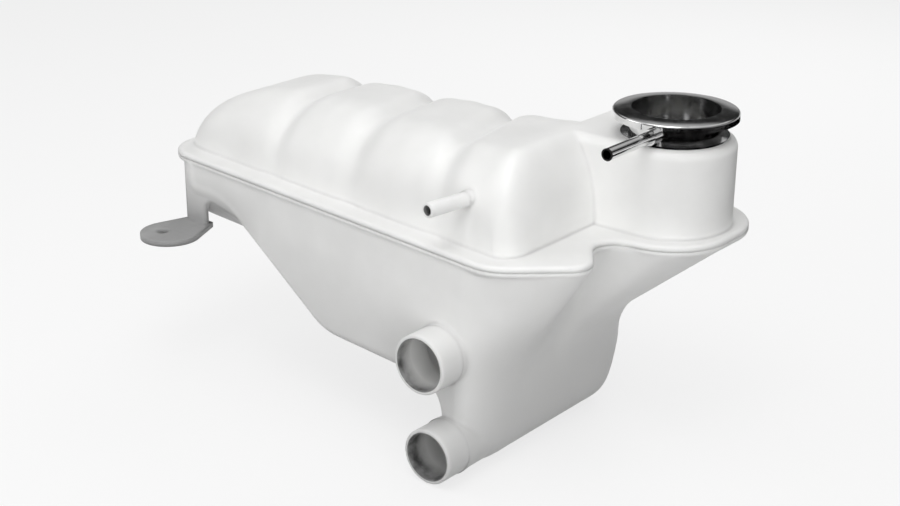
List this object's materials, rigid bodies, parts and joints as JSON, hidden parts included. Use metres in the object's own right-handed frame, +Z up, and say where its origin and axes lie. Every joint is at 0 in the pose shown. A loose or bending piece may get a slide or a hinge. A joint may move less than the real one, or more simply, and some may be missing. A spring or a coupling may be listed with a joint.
{
  "type": "coolant expansion tank",
  "caption": "Long translucent coolant expansion tank with a grooved roof, a metal filler neck, hose spigots at the front and a fixing tab.",
  "frame": {"origin": "on the filler axis, at the top of the cap flange", "axes": "+X along the tank towards the filler end, +Y towards the back, away from the hose spigots, +Z up along the filler axis"},
  "size_m": [0.33, 0.172, 0.1798],
  "materials": {
    "tank_plastic": "satin, milky translucent",
    "neck_metal": "bright plated",
    "seal_rubber": "matt",
    "pipe_metal": "bright plated"
  },
  "bodies": {
    "root": {"upper_shell": "tank_plastic", "lower_shell": "tank_plastic", "filler_neck": "neck_metal", "neck_seal": "seal_rubber", "overflow_pipe": "pipe_metal"}
  },
  "joints": []
}
